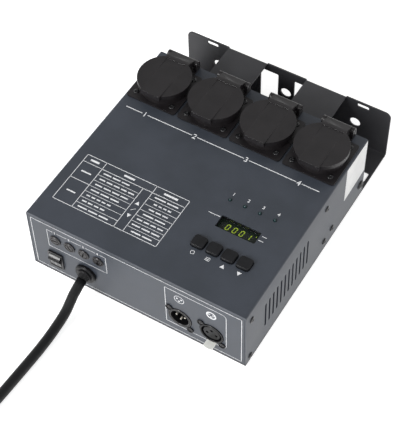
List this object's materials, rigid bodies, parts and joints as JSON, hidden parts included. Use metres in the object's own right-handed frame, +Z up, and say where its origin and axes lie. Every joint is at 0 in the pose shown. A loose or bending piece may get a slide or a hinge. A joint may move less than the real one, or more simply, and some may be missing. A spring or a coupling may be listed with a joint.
{
  "type": "dimmer pack",
  "caption": "Flat metal stage lighting dimmer with lidded mains outlets, a display with push buttons, fuses, data connectors and a folded hanging bracket.",
  "frame": {"origin": "middle of the bracket's underside", "axes": "+Z up with the pack lying flat, +Y from the connector panel to the bracket's back plate, +X to the right seen from the connector panel"},
  "size_m": [0.3119, 0.5735, 0.0904],
  "materials": {
    "black_coat": "black powder coat, fine orange peel",
    "grey_coat": "dark blue-grey powder coat, satin",
    "black_plastic": "moulded, fine spark texture",
    "dark_plastic": "moulded",
    "rubber": "smooth matt",
    "zinc": "zinc plated",
    "steel": "ground",
    "nickel": "satin nickel plated",
    "brass": "rolled sheet",
    "aluminium": "extruded",
    "board": "green solder mask",
    "fuse_glass": "clear, with metal end caps",
    "smoked_window": "smoked clear plastic",
    "lamp_plastic": "tinted clear plastic"
  },
  "bodies": {
    "case": {"mounting_bracket": "black_coat", "chassis_tray": "grey_coat", "top_cover": "grey_coat", "divider_plate": "zinc", "switch_housing": "black_plastic", "cord_bush": "black_plastic", "data_in_shell": "nickel", "data_in_insert": "black_plastic", "data_out_shell": "nickel", "data_out_insert": "dark_plastic", "display_window": "smoked_window", "display_module": "dark_plastic", "control_board": "board", "power_board": "board", "heat_sink": "aluminium", "mains_cord": "rubber", "cord_coil": "rubber", "mains_plug": "rubber", "socket_body_1": "black_plastic", "socket_body_2": "black_plastic", "socket_body_3": "black_plastic", "socket_body_4": "black_plastic", "lid_pin_1": "steel", "lid_pin_2": "steel", "lid_pin_3": "steel", "lid_pin_4": "steel", "earth_strap_1": "brass", "earth_strap_2": "brass", "earth_strap_3": "brass", "earth_strap_4": "brass", "fuse_holder_1": "black_plastic", "fuse_holder_2": "black_plastic", "fuse_holder_3": "black_plastic", "fuse_holder_4": "black_plastic", "fuse_link_1": "fuse_glass", "fuse_link_2": "fuse_glass", "fuse_link_3": "fuse_glass", "fuse_link_4": "fuse_glass", "channel_lamp_1": "lamp_plastic", "channel_lamp_2": "lamp_plastic", "channel_lamp_3": "lamp_plastic", "channel_lamp_4": "lamp_plastic", "triac_1": "dark_plastic", "triac_2": "dark_plastic", "triac_3": "dark_plastic", "triac_4": "dark_plastic"},
    "lid_1": {"socket_lid_1": "black_plastic"},
    "lid_2": {"socket_lid_2": "black_plastic"},
    "lid_3": {"socket_lid_3": "black_plastic"},
    "lid_4": {"socket_lid_4": "black_plastic"},
    "cap_1": {"fuse_cap_1": "black_plastic"},
    "cap_2": {"fuse_cap_2": "black_plastic"},
    "cap_3": {"fuse_cap_3": "black_plastic"},
    "cap_4": {"fuse_cap_4": "black_plastic"},
    "key_1": {"button_1": "black_plastic"},
    "key_2": {"button_2": "black_plastic"},
    "key_3": {"button_3": "black_plastic"},
    "key_4": {"button_4": "black_plastic"},
    "rocker": {"switch_rocker": "black_plastic"},
    "tab": {"release_tab": "nickel"}
  },
  "joints": [
    {"name": "lid_1_hinge", "type": "hinge", "parent": "case", "child": "lid_1", "pos_m": [-0.08175, 0.081, 0.0822], "axis": [-1, 0, 0], "range_deg": [0, 110], "stiffness_Nm_per_rad": 0.02, "springref_deg": -20.05},
    {"name": "lid_2_hinge", "type": "hinge", "parent": "case", "child": "lid_2", "pos_m": [-0.02725, 0.081, 0.0822], "axis": [-1, 0, 0], "range_deg": [0, 110], "stiffness_Nm_per_rad": 0.02, "springref_deg": -20.05},
    {"name": "lid_3_hinge", "type": "hinge", "parent": "case", "child": "lid_3", "pos_m": [0.02725, 0.081, 0.0822], "axis": [-1, 0, 0], "range_deg": [0, 110], "stiffness_Nm_per_rad": 0.02, "springref_deg": -20.05},
    {"name": "lid_4_hinge", "type": "hinge", "parent": "case", "child": "lid_4", "pos_m": [0.08175, 0.081, 0.0822], "axis": [-1, 0, 0], "range_deg": [0, 110], "stiffness_Nm_per_rad": 0.02, "springref_deg": -20.05},
    {"name": "key_1_press", "type": "slide", "parent": "case", "child": "key_1", "axis": [0, 0, -1], "range_m": [0, 0.0008], "stiffness_N_per_m": 900, "springref_m": -0.0006},
    {"name": "key_2_press", "type": "slide", "parent": "case", "child": "key_2", "axis": [0, 0, -1], "range_m": [0, 0.0008], "stiffness_N_per_m": 900, "springref_m": -0.0006},
    {"name": "key_3_press", "type": "slide", "parent": "case", "child": "key_3", "axis": [0, 0, -1], "range_m": [0, 0.0008], "stiffness_N_per_m": 900, "springref_m": -0.0006},
    {"name": "key_4_press", "type": "slide", "parent": "case", "child": "key_4", "axis": [0, 0, -1], "range_m": [0, 0.0008], "stiffness_N_per_m": 900, "springref_m": -0.0006},
    {"name": "rocker_switch", "type": "hinge", "parent": "case", "child": "rocker", "pos_m": [-0.0836, -0.133, 0.0215], "axis": [-1, 0, 0], "range_deg": [0, 35]},
    {"name": "cap_1_turn", "type": "hinge", "parent": "case", "child": "cap_1", "pos_m": [-0.08124, -0.136, 0.0516], "axis": [0, -1, 0], "range_deg": [0, 90]},
    {"name": "cap_2_turn", "type": "hinge", "parent": "case", "child": "cap_2", "pos_m": [-0.06642, -0.136, 0.0516], "axis": [0, -1, 0], "range_deg": [0, 90]},
    {"name": "cap_3_turn", "type": "hinge", "parent": "case", "child": "cap_3", "pos_m": [-0.05158, -0.136, 0.0516], "axis": [0, -1, 0], "range_deg": [0, 90]},
    {"name": "cap_4_turn", "type": "hinge", "parent": "case", "child": "cap_4", "pos_m": [-0.03676, -0.136, 0.0516], "axis": [0, -1, 0], "range_deg": [0, 90]},
    {"name": "tab_press", "type": "slide", "parent": "case", "child": "tab", "axis": [0, 1, 0], "range_m": [0, 0.0025], "stiffness_N_per_m": 500, "springref_m": -0.001}
  ]
}
